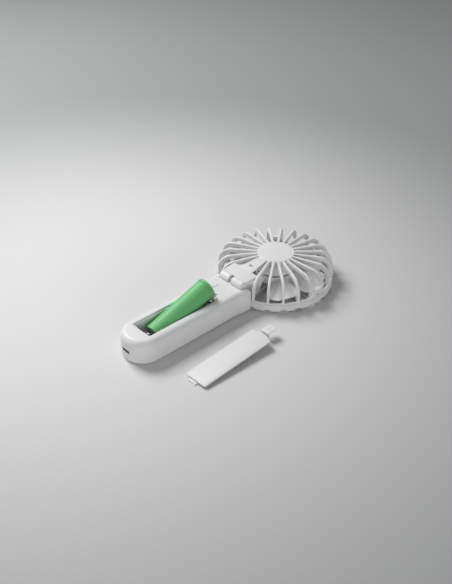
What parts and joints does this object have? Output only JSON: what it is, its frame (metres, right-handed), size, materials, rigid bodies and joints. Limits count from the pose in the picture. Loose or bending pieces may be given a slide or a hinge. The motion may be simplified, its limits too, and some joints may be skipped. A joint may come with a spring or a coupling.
{
  "type": "portable folding electric fan",
  "caption": "Folding hand fan lying on its front: round ribbed cage with a bladed rotor, hinged to a hollow handle with a cell in its open battery bay and the bay's door beside it.",
  "frame": {"origin": "centre of the front cap's outer face, on the fan's axis, where the part rests", "axes": "+Z along the fan's axis out of its back, -Y along the handle from the head, +X across the handle"},
  "size_m": [0.124, 0.2288, 0.0401],
  "materials": {
    "white_shell": "satin moulded white plastic",
    "white_panel": "satin moulded white plastic",
    "white_door": "satin moulded white plastic",
    "white_cage": "satin moulded white plastic",
    "white_guard": "satin moulded white plastic",
    "white_cap": "smooth moulded white plastic",
    "white_button": "smooth moulded white plastic",
    "pale_blades": "pale grey moulded plastic",
    "grey_plate": "grey moulded plastic",
    "black_plastic": "black moulded plastic",
    "frosted_lens": "frosted lens",
    "green_sleeve": "shrunk green sleeve",
    "white_washer": "white paper washer",
    "plated_steel": "nickel plated steel",
    "spring_steel": "plated spring wire",
    "motor_steel": "drawn steel can",
    "bronze": "sintered bronze",
    "board": "green circuit board"
  },
  "bodies": {
    "handle": {"handle_body": "white_shell", "front_panel": "white_panel", "lamp_lens": "frosted_lens", "control_board": "board", "charge_board": "board", "board_screw_1": "plated_steel", "board_screw_2": "plated_steel", "board_screw_3": "plated_steel", "board_screw_4": "plated_steel", "power_switch": "black_plastic", "port_shell": "plated_steel", "port_tongue": "black_plastic", "contact_spring": "spring_steel", "negative_plate": "plated_steel", "positive_plate": "plated_steel"},
    "head": {"rear_cage": "white_cage", "hinge_pin": "plated_steel", "front_guard": "white_guard", "front_cap": "white_cap", "motor_plate": "grey_plate", "plate_screw_1": "plated_steel", "plate_screw_2": "plated_steel", "plate_screw_3": "plated_steel", "motor_screw_1": "plated_steel", "motor_screw_2": "plated_steel", "motor_can": "motor_steel", "motor_bushing": "bronze", "motor_cap": "black_plastic"},
    "rotor": {"impeller": "pale_blades", "motor_shaft": "plated_steel"},
    "button": {"power_button": "white_button"},
    "cell": {"cell_sleeve": "green_sleeve", "cell_can": "plated_steel", "cell_washer": "white_washer", "cell_cap": "plated_steel"},
    "door": {"battery_door": "white_door"}
  },
  "joints": [
    {"name": "head_fold", "type": "hinge", "parent": "handle", "child": "head", "pos_m": [0, -0.054, 0.0235], "axis": [1, 0, 0], "range_deg": [0, 100]},
    {"name": "rotor_spin", "type": "hinge", "parent": "head", "child": "rotor", "pos_m": [0, 0, 0.005], "axis": [0, 0, 1], "continuous": true},
    {"name": "button_press", "type": "slide", "parent": "handle", "child": "button", "axis": [0, 0, 1], "range_m": [0, 0.0006], "stiffness_N_per_m": 1500},
    {"name": "cell_lift", "type": "slide", "parent": "handle", "child": "cell", "axis": [0, 0, 1], "range_m": [0, 0.06]},
    {"name": "door_lift", "type": "slide", "parent": "handle", "child": "door", "axis": [0, 0, 1], "range_m": [0, 0.04]}
  ]
}
